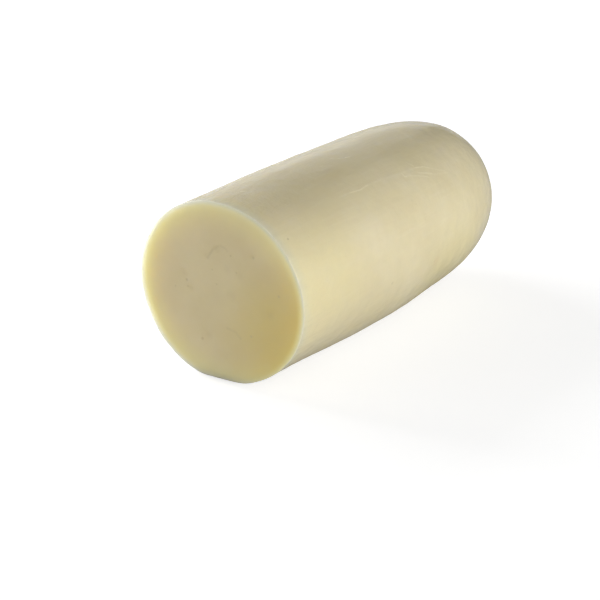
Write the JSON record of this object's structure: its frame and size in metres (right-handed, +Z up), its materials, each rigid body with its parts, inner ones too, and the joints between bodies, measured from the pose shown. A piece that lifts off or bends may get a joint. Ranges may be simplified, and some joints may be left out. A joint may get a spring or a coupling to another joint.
{
  "type": "scamorza cheese log",
  "caption": "Pale, smooth log of stretched-curd cheese lying on its side, cut across at one end and rounded at the other; food to slice, grill or display.",
  "frame": {"origin": "under the middle of the log's box, on the surface that it rests on", "axes": "+X along the log, from its cut face to its rounded end; +Z up"},
  "size_m": [0.217, 0.1006, 0.0969],
  "materials": {
    "cheese": "smooth, waxy satin skin, slightly translucent; the cut face is duller"
  },
  "bodies": {
    "root": {"cheese_log": "cheese"}
  },
  "joints": []
}
